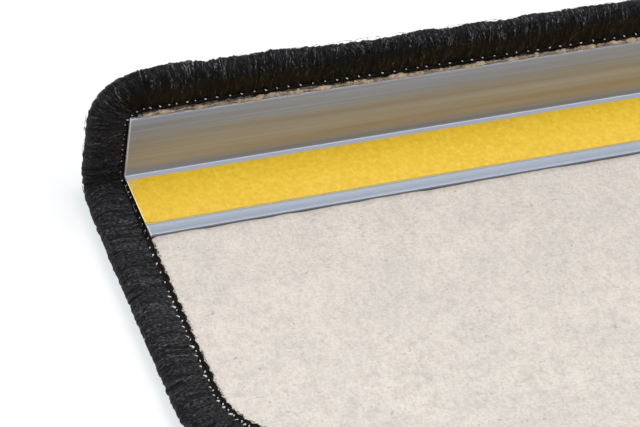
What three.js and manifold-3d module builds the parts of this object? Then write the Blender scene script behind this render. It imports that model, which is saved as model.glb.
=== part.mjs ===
// Half-round stair tread mat, lying pile down with its nose flap standing up, as it lies on a bench.
// Units are millimetres. +X runs along the nose, +Y points out through the flap, +Z is up.
// The origin is under the middle of the mat's footprint, on the surface that it lies on.
import * as THREE from "three";
import { mergeVertices } from "three/addons/utils/BufferGeometryUtils.js";
import Module from "manifold-3d";

const wasm = await Module();
wasm.setup();

// Driving dimensions of the outline, over the whipped edge
const matLength = 650;
const matDepth = 240;
const flapHeight = 37.3; // flap's edge above the face of the angle profile that lies on the step
const sideLength = 86; // straight side, from the inner corner of the profile to the rear corner
const flapCornerRadius = 18;
const rearCornerRadius = 35.5;
const cornerSteps = 8;
const rearSteps = 64;

// Carpet layers, from the underside outwards
const feltThickness = 2.2;
const layerGap = 0.3; // between the felt and the tufted cloth
const clothThickness = 3.1; // tufted cloth where the whipping holds it down
const pileStand = 0.9; // how far the free pile stands above the held edge
const innerBendRadius = 2.4; // felt at the nose
const bendSteps = 4;

// Whipped edge
const whippingWidth = 11.25; // outer edge to stitch line
const whippingBulge = 0.9; // crest of the yarn above the carpet's two faces
const yarnDepth = 4; // yarn outside the carpet's cut edge
const lipThickness = 0.35; // yarn at the stitch line
const ridgeDepth = 0.25; // crest of a ridge to the hollow beside it
const backSteps = 8; // facets round the yarn's back
const backFullness = 0.75; // under 1 squares the round back off
const ridgeSpacing = 11.8; // one ridge to the next, or three stitches
const slotGap = 0.1; // carpet's faces to the yarn
const slotEndGap = 0.6; // carpet's cut edge to the end of its slot in the yarn
const pileGap = 0.6; // whipping to the standing pile

// Stitching on the underside
const threadThickness = 0.45;
const threadGap = 0.1;
const chainWidth = 1.1;
const chainHeight = 0.4;
const chainScallop = 0.3;

// Angle profile and its tapes
const flangeTopClearance = 0.5; // top of the upright flange to the chain of loops above it
const profileTread = 25.8; // inside width of the flat flange
const flangeThickness = 1;
const profileCornerRadius = 1;
const innerFillet = 0.3;
const profileEndGap = 0.95; // stitching to the end of the profile
const ledgeWidth = 5; // bare strip along the free edge of the flat flange
const cornerStripWidth = 1.7;
const grooveWidth = 0.5; // two fine grooves along the ledge
const grooveDepth = 0.1;
const bondStripThickness = 0.5;
const bondStripMargin = 3; // edge of a flange to its bonding strip
const bondClearance = 0.3; // bonding strip to the felt
const tapeThickness = 0.4;
const linerThickness = 0.2;
const tapeEndGap = 0.3;

// Places worked out from the sizes above. The inner corner of the profile is at y = 0, z = 0.
const carpetThickness = feltThickness + layerGap + clothThickness;
const feltFace = flangeThickness + bondStripThickness + bondClearance;
const bendY = feltFace - innerBendRadius;
const bendZ = innerBendRadius - feltFace;
const middleRadius = innerBendRadius + carpetThickness / 2;
const bendLength = (middleRadius * Math.PI) / 2;
const frontY = feltFace + carpetThickness + pileStand;
const bottomZ = -(feltFace + carpetThickness + Math.max(pileStand, whippingBulge));
const rearY = frontY - matDepth;
const threadInset = whippingWidth + threadGap + threadThickness / 2;
const chainInset = threadInset + threadThickness / 2 + threadGap;
const profileDrop = flapHeight - chainInset - chainWidth - flangeTopClearance;
const profileLength = matLength - 2 * (threadInset + profileEndGap);
const cornerX = matLength / 2 - rearCornerRadius;
const rearReach = -sideLength - rearY;
const rearRadius =
  (cornerX ** 2 + rearReach ** 2 - rearCornerRadius ** 2) / (2 * (rearReach - rearCornerRadius));
const rearCentreY = rearY + rearRadius;
const rearHalfAngle = Math.asin(cornerX / (rearRadius - rearCornerRadius));

const materials = {
  yarn: { color: 0x232326, roughness: 0.85, metalness: 0 },
  chain: { color: 0x1e1b19, roughness: 0.85, metalness: 0 },
  thread: { color: 0xe6e6e2, roughness: 0.6, metalness: 0 },
  felt: { color: 0xdad1c8, roughness: 1, metalness: 0 },
  pile: { color: 0x38393d, roughness: 1, metalness: 0 },
  aluminium: { color: 0xa7aebb, roughness: 0.35, metalness: 0.9 },
  bond: { color: 0x6e6355, roughness: 0.7, metalness: 0 },
  tape: { color: 0xe8e0c4, roughness: 0.6, metalness: 0 },
  liner: { color: 0xe0b938, roughness: 0.55, metalness: 0 },
};

function named(name, geometry, material) {
  const mesh = new THREE.Mesh(geometry, new THREE.MeshStandardMaterial(materials[material]));
  mesh.name = name;
  return mesh;
}

function solidOf(geometry) {
  const bare = new THREE.BufferGeometry();
  bare.setAttribute("position", geometry.getAttribute("position"));
  bare.setIndex(geometry.index);
  const merged = mergeVertices(bare, 1e-4);
  return new wasm.Manifold(
    new wasm.Mesh({
      numProp: 3,
      vertProperties: merged.attributes.position.array,
      triVerts: new Uint32Array(merged.index.array),
    }),
  );
}

function geometryOf(solid) {
  const mesh = solid.getMesh();
  const geometry = new THREE.BufferGeometry();
  geometry.setAttribute("position", new THREE.BufferAttribute(mesh.vertProperties, 3));
  geometry.setIndex(new THREE.BufferAttribute(mesh.triVerts, 1));
  geometry.computeVertexNormals();
  return geometry;
}

// A shape drawn in (y, z) and extruded along the mat's length, centred on x = 0.
function alongNose(shape, length) {
  const geometry = new THREE.ExtrudeGeometry(shape, { depth: length, bevelEnabled: false });
  geometry.rotateY(Math.PI / 2);
  geometry.rotateX(Math.PI / 2);
  return geometry.translate(-length / 2, 0, 0);
}

// Plan of the mat, its edge moved in by the inset. Its front runs on past the flap.
function planOutline(inset) {
  const halfLength = matLength / 2 - inset;
  const past = frontY + matDepth;
  const shape = new THREE.Shape();
  shape.moveTo(halfLength, past);
  shape.lineTo(-halfLength, past);
  const leftCorner = new THREE.ArcCurve(
    -cornerX, -sideLength, rearCornerRadius - inset, Math.PI, 1.5 * Math.PI - rearHalfAngle,
  );
  const rearArc = new THREE.ArcCurve(
    0, rearCentreY, rearRadius - inset, 1.5 * Math.PI - rearHalfAngle, 1.5 * Math.PI + rearHalfAngle,
  );
  const rightCorner = new THREE.ArcCurve(
    cornerX, -sideLength, rearCornerRadius - inset, rearHalfAngle - Math.PI / 2, 0,
  );
  const bend = [
    ...leftCorner.getPoints(cornerSteps),
    ...rearArc.getPoints(rearSteps).slice(1),
    ...rightCorner.getPoints(cornerSteps).slice(1),
  ];
  bend.forEach((point) => shape.lineTo(point.x, point.y));
  return shape;
}

// Front view of the flap, its edge moved in by the inset. Its foot runs on down past the tread.
function flapOutline(inset) {
  const halfLength = matLength / 2 - inset;
  const top = flapHeight - inset;
  const radius = flapCornerRadius - inset;
  const past = bottomZ - matDepth;
  const shape = new THREE.Shape();
  shape.moveTo(-halfLength, past);
  shape.lineTo(halfLength, past);
  shape.lineTo(halfLength, top - radius);
  shape.absarc(halfLength - radius, top - radius, radius, 0, Math.PI / 2, false);
  shape.lineTo(radius - halfLength, top);
  shape.absarc(radius - halfLength, top - radius, radius, Math.PI / 2, Math.PI, false);
  shape.closePath();
  return shape;
}

// A bent sheet between two depths below the felt's face, cut to the mat's outline.
function bentSheet(fromDepth, toDepth, inset) {
  const inner = innerBendRadius + fromDepth;
  const outer = innerBendRadius + toDepth;
  const past = matLength;
  const section = new THREE.Shape();
  section.moveTo(bendY - past, bendZ - outer);
  for (let i = 0; i <= bendSteps; i++) {
    const angle = ((i / bendSteps - 1) * Math.PI) / 2;
    section.lineTo(bendY + outer * Math.cos(angle), bendZ + outer * Math.sin(angle));
  }
  section.lineTo(bendY + outer, bendZ + past);
  section.lineTo(bendY + inner, bendZ + past);
  for (let i = bendSteps; i >= 0; i--) {
    const angle = ((i / bendSteps - 1) * Math.PI) / 2;
    section.lineTo(bendY + inner * Math.cos(angle), bendZ + inner * Math.sin(angle));
  }
  section.lineTo(bendY - past, bendZ - inner);
  const sheet = solidOf(alongNose(section, matLength));
  const reach = 4 * matDepth;
  const plan = new THREE.ExtrudeGeometry(planOutline(inset), { depth: reach, bevelEnabled: false });
  plan.translate(0, 0, -reach / 2);
  const front = new THREE.ExtrudeGeometry(flapOutline(inset), {
    depth: reach, bevelEnabled: false, curveSegments: cornerSteps,
  });
  front.translate(0, 0, -reach / 2);
  front.rotateX(Math.PI / 2);
  return sheet.intersect(solidOf(plan)).intersect(solidOf(front));
}

// Round the whole edge in even steps: a point of the outer edge on the carpet laid out flat,
// as x and the run from the start of the nose bend, with the direction that points inwards.
function edgeStations() {
  const stations = [];
  const evenSteps = (length) => 2 * Math.max(1, Math.round(length / ridgeSpacing));
  const arc = (x, run, radius, from, to) => {
    const steps = evenSteps(radius * Math.abs(to - from));
    for (let i = 0; i < steps; i++) {
      const angle = from + ((to - from) * i) / steps;
      const [outX, outRun] = [Math.cos(angle), Math.sin(angle)];
      stations.push({ x: x + radius * outX, run: run + radius * outRun, inX: -outX, inRun: -outRun });
    }
  };
  const line = (x0, run0, x1, run1, inX, inRun, fixedSteps) => {
    const steps = fixedSteps ?? evenSteps(Math.hypot(x1 - x0, run1 - run0));
    for (let i = 0; i < steps; i++) {
      const share = i / steps;
      stations.push({ x: x0 + (x1 - x0) * share, run: run0 + (run1 - run0) * share, inX, inRun });
    }
  };
  const half = matLength / 2;
  const cornerRun = -sideLength - bendY;
  const flapTop = bendLength + flapHeight - bendZ;
  const flapCornerRun = flapTop - flapCornerRadius;
  const flapCornerX = half - flapCornerRadius;
  const down = -Math.PI / 2;
  arc(0, rearCentreY - bendY, rearRadius, down - rearHalfAngle, down + rearHalfAngle);
  arc(cornerX, cornerRun, rearCornerRadius, down + rearHalfAngle, 0);
  line(half, cornerRun, half, 0, -1, 0);
  line(half, 0, half, bendLength, -1, 0, bendSteps);
  line(half, bendLength, half, flapCornerRun, -1, 0);
  arc(flapCornerX, flapCornerRun, flapCornerRadius, 0, Math.PI / 2);
  line(flapCornerX, flapTop, -flapCornerX, flapTop, 0, -1);
  arc(-flapCornerX, flapCornerRun, flapCornerRadius, Math.PI / 2, Math.PI);
  line(-half, flapCornerRun, -half, bendLength, 1, 0);
  line(-half, bendLength, -half, 0, 1, 0, bendSteps);
  line(-half, 0, -half, cornerRun, 1, 0);
  arc(-cornerX, cornerRun, rearCornerRadius, Math.PI, Math.PI + Math.PI / 2 - rearHalfAngle);
  return stations;
}

// Where a point of the flat carpet goes once the nose is bent. Depth is below the felt's face.
function bentPoint(x, run, depth) {
  const radius = innerBendRadius + depth;
  if (run <= 0) return [x, bendY + run, bendZ - radius];
  if (run >= bendLength) return [x, bendY + radius, bendZ + run - bendLength];
  const angle = run / middleRadius;
  return [x, bendY + radius * Math.sin(angle), bendZ - radius * Math.cos(angle)];
}

// A closed ring round the edge. Its section is a loop of [inset, depth] points at each station.
function ringRoundEdge(sectionAt) {
  const stations = edgeStations();
  const positions = [];
  const indices = [];
  stations.forEach((station, i) => {
    for (const [inset, depth] of sectionAt(i)) {
      const x = station.x + station.inX * inset;
      const run = station.run + station.inRun * inset;
      positions.push(...bentPoint(x, run, depth));
    }
  });
  const sides = positions.length / 3 / stations.length;
  for (let i = 0; i < stations.length; i++) {
    const next = (i + 1) % stations.length;
    for (let j = 0; j < sides; j++) {
      const k = (j + 1) % sides;
      const [a, b, c, d] = [i * sides + j, next * sides + j, next * sides + k, i * sides + k];
      indices.push(a, c, b, a, d, c);
    }
  }
  const geometry = new THREE.BufferGeometry();
  geometry.setAttribute("position", new THREE.Float32BufferAttribute(positions, 3));
  geometry.setIndex(indices);
  geometry.computeVertexNormals();
  return geometry;
}

// Yarn wrapped over the carpet's cut edge: a round back and two lips, with a slot for the carpet.
// Ridge stations stand out by the full bulge, and the ones between lie lower.
function edgeWhipping() {
  const halfThickness = carpetThickness / 2;
  const lipNear = -slotGap - lipThickness;
  const lipFar = carpetThickness + slotGap + lipThickness;
  const section = (i) => {
    const sink = i % 2 ? ridgeDepth : 0;
    const crest = halfThickness + whippingBulge - sink;
    const points = [[whippingWidth, -slotGap], [whippingWidth, lipNear]];
    for (let j = 0; j <= backSteps; j++) {
      const turn = Math.PI * (j / backSteps - 0.5);
      const across = Math.sign(turn) * Math.abs(Math.sin(turn)) ** backFullness;
      const out = (whippingWidth / 2 - sink) * Math.cos(turn);
      points.push([whippingWidth / 2 - out, halfThickness + crest * across]);
    }
    points.push([whippingWidth, lipFar], [whippingWidth, carpetThickness + slotGap]);
    points.push([yarnDepth - slotEndGap, carpetThickness + slotGap], [yarnDepth - slotEndGap, -slotGap]);
    return points;
  };
  return named("edge_whipping", ringRoundEdge(section), "yarn");
}

// White needle thread that runs along the stitch line, on the felt.
function needleThread() {
  const half = threadThickness / 2;
  const section = () => [
    [threadInset + half, -threadGap],
    [threadInset, -threadGap - threadThickness],
    [threadInset - half, -threadGap],
  ];
  return named("needle_thread", ringRoundEdge(section), "thread");
}

// Black looper chain beside the needle thread, scalloped along its inner side.
function looperChain() {
  const section = (i) => {
    const width = chainWidth - (i % 2 ? chainScallop : 0);
    const foot = -threadGap;
    const crown = foot - chainHeight;
    const shoulder = chainWidth / 4;
    return [
      [chainInset + width, foot],
      [chainInset + width - shoulder, crown],
      [chainInset + shoulder, crown],
      [chainInset, foot],
    ];
  };
  return named("looper_chain", ringRoundEdge(section), "chain");
}

function feltBacking() {
  return named("felt_backing", geometryOf(bentSheet(0, feltThickness, yarnDepth)), "felt");
}

// Tufted cloth: held thin under the whipping, and standing free inside it.
function carpetPile() {
  const start = feltThickness + layerGap;
  const held = bentSheet(start, carpetThickness, yarnDepth);
  const free = bentSheet(start, carpetThickness + pileStand, whippingWidth + pileGap);
  return named("carpet_pile", geometryOf(held.add(free)), "pile");
}

// Extruded angle: a plain upright flange, and a flat one with two fine grooves along its ledge.
function angleProfile() {
  const shape = new THREE.Shape();
  shape.moveTo(-innerFillet, 0);
  shape.lineTo(0, innerFillet);
  shape.lineTo(0, profileDrop);
  shape.lineTo(flangeThickness, profileDrop);
  const corner = flangeThickness - profileCornerRadius;
  shape.lineTo(flangeThickness, -corner);
  shape.absarc(corner, -corner, profileCornerRadius, 0, -Math.PI / 2, true);
  shape.lineTo(-profileTread, -flangeThickness);
  shape.lineTo(-profileTread, 0);
  for (const share of [1 / 3, 2 / 3]) {
    const groove = ledgeWidth * share - profileTread;
    shape.lineTo(groove - grooveWidth / 2, 0);
    shape.lineTo(groove, -grooveDepth);
    shape.lineTo(groove + grooveWidth / 2, 0);
  }
  shape.closePath();
  return named("angle_profile", alongNose(shape, profileLength), "aluminium");
}

// A flat strip along the nose between two y and two z limits, as long as asked.
function flatStrip(name, y0, y1, z0, z1, length, material) {
  const box = new THREE.BoxGeometry(length, y1 - y0, z1 - z0);
  box.translate(0, (y0 + y1) / 2, (z0 + z1) / 2);
  return named(name, box, material);
}

// What holds the profile to the felt: one strip under the flat flange, one behind the upright one.
function bondStrips() {
  const length = profileLength - 2 * (chainInset + chainWidth - threadInset);
  const far = flangeThickness + bondStripThickness;
  return [
    flatStrip("bond_strip_tread", bondStripMargin - profileTread, -bondStripMargin,
      -far, -flangeThickness, length, "bond"),
    flatStrip("bond_strip_flap", flangeThickness, far,
      bondStripMargin, profileDrop - bondStripMargin, length, "bond"),
  ];
}

// Double-sided tape on the flat flange, and the yellow paper that covers it until it is fixed.
function stepTape() {
  const y0 = ledgeWidth - profileTread;
  const y1 = -cornerStripWidth;
  const length = profileLength - 2 * tapeEndGap;
  const linerTop = tapeThickness + linerThickness;
  return [
    flatStrip("adhesive_tape", y0, y1, 0, tapeThickness, length, "tape"),
    flatStrip("release_liner", y0, y1, tapeThickness, linerTop, length, "liner"),
  ];
}

const mat = new THREE.Group();
mat.add(carpetPile(), feltBacking(), edgeWhipping(), needleThread(), looperChain());
mat.add(angleProfile(), ...bondStrips(), ...stepTape());
mat.position.set(0, -(frontY + rearY) / 2, -bottomZ);

export default mat;
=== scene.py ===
from math import asin, cos, pi, radians, sin
import bpy
import numpy as np
from mathutils import Matrix, Vector


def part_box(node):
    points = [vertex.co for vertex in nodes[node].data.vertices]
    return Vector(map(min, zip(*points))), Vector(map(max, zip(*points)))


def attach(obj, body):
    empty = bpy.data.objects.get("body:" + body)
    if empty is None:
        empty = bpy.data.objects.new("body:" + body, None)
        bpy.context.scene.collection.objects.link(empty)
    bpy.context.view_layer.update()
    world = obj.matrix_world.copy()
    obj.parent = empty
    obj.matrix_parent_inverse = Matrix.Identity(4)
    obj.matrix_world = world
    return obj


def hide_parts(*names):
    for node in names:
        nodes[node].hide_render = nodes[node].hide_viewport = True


# Half-round stair tread mat: black whipped edge, cream felt underside, aluminium angle with yellow liner.
# Lengths are worked out in mm and put into the meshes in metres.

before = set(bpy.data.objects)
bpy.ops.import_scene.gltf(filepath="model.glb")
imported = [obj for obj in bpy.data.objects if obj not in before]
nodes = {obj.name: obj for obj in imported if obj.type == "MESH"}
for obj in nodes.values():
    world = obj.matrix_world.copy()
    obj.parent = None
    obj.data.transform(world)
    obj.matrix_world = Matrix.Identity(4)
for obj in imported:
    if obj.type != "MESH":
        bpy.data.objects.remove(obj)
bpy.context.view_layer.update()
mm = 0.001

flangeWall = 1.0
flangeReach = 25.8  # flat flange, from the angle's inner corner
profileLow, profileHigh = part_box("angle_profile")
cornerY = profileHigh[1] / mm - flangeWall  # inner corner of the angle
cornerZ = profileLow[2] / mm + flangeWall
profileEnd = profileLow[0] / mm
ledgeY = cornerY - flangeReach
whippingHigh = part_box("edge_whipping")[1]

outline = dict(
    halfLength=whippingHigh[0] / mm,
    rear=-240 + whippingHigh[1] / mm,
    flapTop=whippingHigh[2] / mm,
    sideLength=86,  # straight side behind the angle's corner
    flapCorner=18,
    rearCorner=35.5,
    sag=0.35,  # flap's edge dips between its corners
    sagFrom=40,
    sagOver=40,
    bow=0.4,  # sides bow outwards behind the nose
)
layers = dict(
    feltFace=1.8,  # felt behind the angle's inner faces
    bendRadius=2.4,
    felt=2.2,
    carpet=5.6,
    pileStand=0.9,
    cutInset=4.0,  # carpet's cut edge inside the yarn
    pileFrom=2.5,
)
stitch = dict(
    pitch=3.93,
    crowdFrom=(283, 295, 306, 309, 333, 337, 360, 392, 400),  # along the edge from the middle of the flap
    crowdPitch=(3.85, 2.9, 2.7, 5.6, 5.6, 1.9, 2.7, 3.1, 3.93),
    threadInset=11.575,
    chainInset=12.35,
)

bendY = cornerY + layers["feltFace"] - layers["bendRadius"]
bendZ = cornerZ + layers["bendRadius"] - layers["feltFace"]
middleRadius = layers["bendRadius"] + layers["carpet"] / 2
bendLength = middleRadius * pi / 2
ledgeRun = ledgeY - bendY
halfLength = outline["halfLength"]
cornerRun = cornerY - outline["sideLength"] - bendY
rearRun = outline["rear"] - bendY
flapTopRun = bendLength + outline["flapTop"] - bendZ
flapCorner, rearCorner = outline["flapCorner"], outline["rearCorner"]
flapCornerRun = flapTopRun - flapCorner
flapCornerX = halfLength - flapCorner
rearCornerX = halfLength - rearCorner
rearReach = cornerRun - rearRun
rearRadius = (rearCornerX**2 + rearReach**2 - rearCorner**2) / 2 / (rearReach - rearCorner)
rearCentreRun = rearRun + rearRadius
rearHalfAngle = asin(rearCornerX / (rearRadius - rearCorner))


def bendPoint(x, run, depth):
    # The flat carpet bent at the nose: straight, a quarter circle by run over the middle radius, straight up
    radius = layers["bendRadius"] + depth
    angle = np.clip(run / middleRadius, 0, pi / 2)
    y = bendY + radius * np.sin(angle) + np.minimum(run, 0)
    z = bendZ - radius * np.cos(angle) + np.maximum(run - bendLength, 0)
    return np.stack([x + 0 * y, y, z], axis=-1)


def straight(length, start, way):
    return dict(length=length, start=start, way=way)


def arc(centre, radius, begin, end):
    return dict(length=radius * (end - begin), centre=centre, radius=radius, begin=begin)


# Left half of the outer edge on the flat carpet, x by run, from the flap's middle to the rear's
segments = [
    straight(flapCornerX, (0, flapTopRun), (-1, 0)),
    arc((-flapCornerX, flapCornerRun), flapCorner, pi / 2, pi),
    straight(flapCornerRun - cornerRun, (-halfLength, flapCornerRun), (0, -1)),
    arc((-rearCornerX, cornerRun), rearCorner, pi, 1.5 * pi - rearHalfAngle),
    arc((0, rearCentreRun), rearRadius, 1.5 * pi - rearHalfAngle, 1.5 * pi),
]
edgeLength = 2 * sum(part["length"] for part in segments)

# Stitches counted along the edge: the sum of 1 / pitch, scaled to a whole number
edgeWalk = np.linspace(0, edgeLength, 8001)
pitchThere = np.interp(np.minimum(edgeWalk, edgeLength - edgeWalk), stitch["crowdFrom"], stitch["crowdPitch"])
stitchesPassed = np.concatenate([[0], np.cumsum(edgeWalk[1] / pitchThere[1:])])
stitchCount = round(stitchesPassed[-1])
stitchesPassed *= stitchCount / stitchesPassed[-1]


def stitchAt(number):
    # Place along the edge of a stitch, by its number
    return np.interp(np.mod(number, stitchCount), stitchesPassed, edgeWalk)


def stitchNumber(along):
    return np.interp(np.mod(along, edgeLength), edgeWalk, stitchesPassed)


def clamped(value):
    return np.clip(value, 0, 1)


def smoothStep(t):
    return t * t * (3 - 2 * t)


def edgePoint(along):
    # x, run and the unit vector inwards. An arc is centre plus radius times (cos, sin) of an even angle. The
    # flap's top sags by a smooth step, and the sides bow out by a half sine
    s = np.mod(along, edgeLength)
    mirror = np.where(s > edgeLength / 2, -1, 1)
    s = np.minimum(s, edgeLength - s)
    x, run, inX, inRun = (np.zeros_like(s) for _ in range(4))
    passed = 0.0
    for part in segments:
        here = (s >= passed) & (s <= passed + part["length"] + 1e-9)
        t = s[here] - passed
        if "radius" in part:
            angle = part["begin"] + t / part["radius"]
            inX[here], inRun[here] = -np.cos(angle), -np.sin(angle)
            x[here] = part["centre"][0] - part["radius"] * inX[here]
            run[here] = part["centre"][1] - part["radius"] * inRun[here]
        else:
            x[here] = part["start"][0] + part["way"][0] * t
            run[here] = part["start"][1] + part["way"][1] * t
            inX[here], inRun[here] = -part["way"][1], part["way"][0]
        passed += part["length"]
    inwards = clamped((flapCornerX - np.abs(x) - outline["sagFrom"]) / outline["sagOver"])
    run = run - outline["sag"] * smoothStep(inwards) * (run > flapCornerRun)
    x = x + np.sign(x) * outline["bow"] * np.sin(pi * clamped(run / cornerRun))
    return x * mirror, run, inX * mirror, inRun


def nearEdge(along, inset, depth):
    # Edge point moved inwards by the inset, then bent with the carpet at the given depth
    x, run, inX, inRun = edgePoint(along)
    return bendPoint(x + inX * inset, run + inRun * inset, depth)


def softNoise(x, y, seed):
    # Random heights on a unit grid, blended between its corners by a smooth step; from -1 to 1
    size = 512
    heights = np.random.default_rng(seed).uniform(-1, 1, (size, size))
    column, row = np.floor(x).astype(int), np.floor(y).astype(int)
    tx, ty = smoothStep(x - column), smoothStep(y - row)
    c0, c1, r0, r1 = column % size, (column + 1) % size, row % size, (row + 1) % size
    low = heights[c0, r0] * (1 - tx) + heights[c1, r0] * tx
    high = heights[c0, r1] * (1 - tx) + heights[c1, r1] * tx
    return low * (1 - ty) + high * ty


def perItem(index, low, high, seed):
    # One random value for each whole number
    values = np.random.default_rng(seed).uniform(low, high, 8192)
    return values[np.asarray(index).astype(int) % len(values)]


def addObject(name, data):
    made = bpy.data.objects.new(name, data)
    bpy.context.scene.collection.objects.link(made)
    return made


def newPiece(name, material, points, quads, triangles=None, uv=None, values={}, sharp=None):
    # Mesh from points in mm, with uv and values for each. Edges over sharp degrees stay hard
    mesh = bpy.data.meshes.new(name)
    triangles = np.zeros((0, 3), int) if triangles is None else triangles
    corners = np.concatenate([quads.ravel(), triangles.ravel()])
    sizes = np.repeat([4, 3], [len(quads), len(triangles)])
    mesh.vertices.add(len(points))
    mesh.vertices.foreach_set("co", (points * mm).ravel())
    mesh.loops.add(len(corners))
    mesh.loops.foreach_set("vertex_index", corners)
    mesh.polygons.add(len(sizes))
    mesh.polygons.foreach_set("loop_start", np.cumsum(sizes) - sizes)
    mesh.update(calc_edges=True)
    mesh.validate()
    if uv is not None:
        mesh.uv_layers.new(name="along").data.foreach_set("uv", uv[corners].ravel())
    for key, value in values.items():
        mesh.attributes.new(key, "FLOAT", "POINT").data.foreach_set("value", np.ravel(value))
    mesh.polygons.foreach_set("use_smooth", np.ones(len(mesh.polygons), bool))
    if sharp:
        mesh.set_sharp_from_angle(angle=radians(sharp))
    mesh.materials.append(material)
    piece = addObject(name, mesh)
    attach(piece, "root")
    print(name, len(quads) * 2 + len(triangles), "triangles")
    return piece


def gridQuads(columns, rows, closeColumns=False, closeRows=False):
    # Faces between neighbours of a grid numbered column by column
    c = np.arange(columns if closeColumns else columns - 1)[:, None]
    r = np.arange(rows if closeRows else rows - 1)[None, :]
    c1, r1 = (c + 1) % columns, (r + 1) % rows
    return np.stack([c * rows + r, c1 * rows + r, c1 * rows + r1, c * rows + r1], axis=-1).reshape(-1, 4)


def shellQuads(columns, rows):
    # Two grids of faces back to back, and a strip round the rim between them
    count = columns * rows
    index = np.arange(count).reshape(columns, rows)
    rim = np.concatenate([index[:, 0], index[-1, 1:], index[-2::-1, -1], index[0, -2:0:-1]])
    following = np.roll(rim, -1)
    grid = gridQuads(columns, rows)
    strip = np.stack([rim, rim + count, following + count, following], -1)
    return np.concatenate([grid, grid[:, ::-1] + count, strip])


def tubes(paths, radius, sides, up, closed=False):
    # Rings round the points of many paths: point + radius * (cos * side + sin * over). Open tubes end in points
    count, steps, _ = paths.shape
    if closed:
        way = np.roll(paths, -1, axis=1) - np.roll(paths, 1, axis=1)
    else:
        way = np.gradient(paths, axis=1)
    way /= np.linalg.norm(way, axis=-1, keepdims=True)
    side = np.cross(way, up)
    side /= np.linalg.norm(side, axis=-1, keepdims=True)
    over = np.cross(side, way)
    turn = np.arange(sides) * 2 * pi / sides
    ring = side[:, :, None] * np.cos(turn)[:, None] + over[:, :, None] * np.sin(turn)[:, None]
    points = (paths[:, :, None] + ring * np.asarray(radius)[..., None, None]).reshape(-1, 3)
    first = np.arange(count)[:, None] * steps * sides
    quads = (gridQuads(steps, sides, closed, True)[:, ::-1] + first[..., None]).reshape(-1, 4)
    if closed:
        return points, quads, None
    here = np.arange(sides)
    following = (here + 1) % sides
    last = first + (steps - 1) * sides
    tip = len(points) + np.arange(count)[:, None] + 0 * here
    near = np.stack([first + following, first + here, tip], -1)
    far = np.stack([last + here, last + following, tip + count], -1)
    points = np.concatenate([points, paths[:, 0], paths[:, -1]])
    return points, quads, np.concatenate([near, far]).reshape(-1, 3)


def edgeTubes(along, inset, depth, radius, sides, closed=False):
    # Tubes near the edge, turned to the carpet's own face
    paths = nearEdge(along, inset, depth)
    return tubes(paths, radius, sides, nearEdge(along, inset, depth - 1) - paths, closed)


# Materials. Colours are display colours, 0 to 255, and one number stands for a grey

def linear(colour, share=1.0):
    # Display colour as linear light times a share. Four values are linear light already
    if np.size(colour) == 4:
        return colour
    channels = np.broadcast_to(colour, 3) / 255
    light = np.where(channels < 0.04045, channels / 12.92, ((channels + 0.055) / 1.055) ** 2.4)
    return (*np.minimum(share * light, 1), 1.0)


def fillInputs(tree, node, inputs):
    # Inputs are links from other nodes or plain values
    for key, value in inputs.items():
        if isinstance(value, bpy.types.NodeSocket):
            tree.links.new(value, node.inputs[key])
        else:
            node.inputs[key].default_value = value


def addNode(tree, kind, inputs={}, **settings):
    made = tree.nodes.new("ShaderNode" + kind)
    for key, value in settings.items():
        setattr(made, key, value)
    fillInputs(tree, made, inputs)
    return made


def maths(tree, operation, first, second):
    return addNode(tree, "Math", {0: first, 1: second}, operation=operation).outputs[0]


def attribute(tree, name):
    return addNode(tree, "Attribute", attribute_name=name).outputs["Fac"]


def newMaterial(name, kind="Object"):
    # Material, its tree and the coordinates that its pattern follows
    material = bpy.data.materials.new(name)
    material.use_nodes = True
    tree = material.node_tree
    return material, tree, addNode(tree, "TexCoord").outputs[kind]


def between(tree, place, axis, low, high):
    # Goes from 0 to 1 as the coordinate on an axis goes from low to high, in mm
    value = addNode(tree, "SeparateXYZ", {0: place}).outputs[axis]
    limits = {"Value": value, "From Min": low * mm, "From Max": high * mm}
    return addNode(tree, "MapRange", limits).outputs[0]


def stretchedNoise(tree, place, scale, detail=3, roughness=0.5):
    # Noise with its own scale along each axis
    scaled = addNode(tree, "Mapping", {"Vector": place, "Scale": scale}).outputs[0]
    inputs = {"Vector": scaled, "Scale": 1, "Detail": detail, "Roughness": roughness}
    return addNode(tree, "TexNoise", inputs).outputs["Fac"]


def ramp(tree, source, stops):
    # Colours blended between stops, which are places from 0 to 1 and their colours
    made = addNode(tree, "ValToRGB", {"Fac": source})
    elements = made.color_ramp.elements
    elements.remove(elements[1])
    elements[0].position = min(stops)
    for number, (place, colour) in enumerate(stops.items()):
        element = elements.new(place) if number else elements[0]
        element.color = linear(colour)
    return made.outputs["Color"]


def mixColours(tree, share, low, high, blend="MIX"):
    inputs = {0: share, 6: low, 7: high}
    return addNode(tree, "Mix", inputs, data_type="RGBA", blend_type=blend).outputs[2]


def tinted(tree, colour, *tints):
    # The colour times one ramp after another
    for source, stops in tints:
        colour = mixColours(tree, 1.0, colour, ramp(tree, source, stops), "MULTIPLY")
    return colour


def finish(material, colour, relief=None, **sockets):
    # Colour and sockets go to the shader; relief is a height with its strength and distance
    tree = material.node_tree
    inputs = {key.replace("_", " "): value for key, value in sockets.items()}
    inputs["Base Color"] = colour
    if relief:
        bump = dict(zip(("Height", "Strength", "Distance"), relief))
        inputs["Normal"] = addNode(tree, "Bump", bump).outputs[0]
    fillInputs(tree, tree.nodes["Principled BSDF"], inputs)
    return material


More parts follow.
